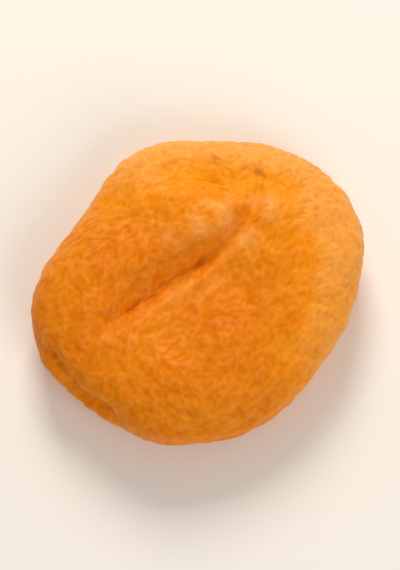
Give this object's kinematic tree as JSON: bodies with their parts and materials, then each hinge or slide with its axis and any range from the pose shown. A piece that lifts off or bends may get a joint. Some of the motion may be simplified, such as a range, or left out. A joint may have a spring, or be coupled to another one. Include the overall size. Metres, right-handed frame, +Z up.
{
  "type": "dried apricot",
  "caption": "Whole pitted dried apricot: a puffy flattened disc with a deep crease across its upper face, shrivelled skin, a stem scar and a closed pitting slit, lying flat.",
  "frame": {"origin": "on the surface that the fruit lies on, under the middle of its bounding box", "axes": "+X along the main crease towards the stem scar, +Y across the crease to its left, +Z up out of the broad creased face"},
  "size_m": [0.0384, 0.0332, 0.0101],
  "materials": {
    "apricot_skin": "waxy, finely wrinkled, slightly see-through orange skin"
  },
  "bodies": {
    "root": {"dried_apricot": "apricot_skin"}
  },
  "joints": []
}
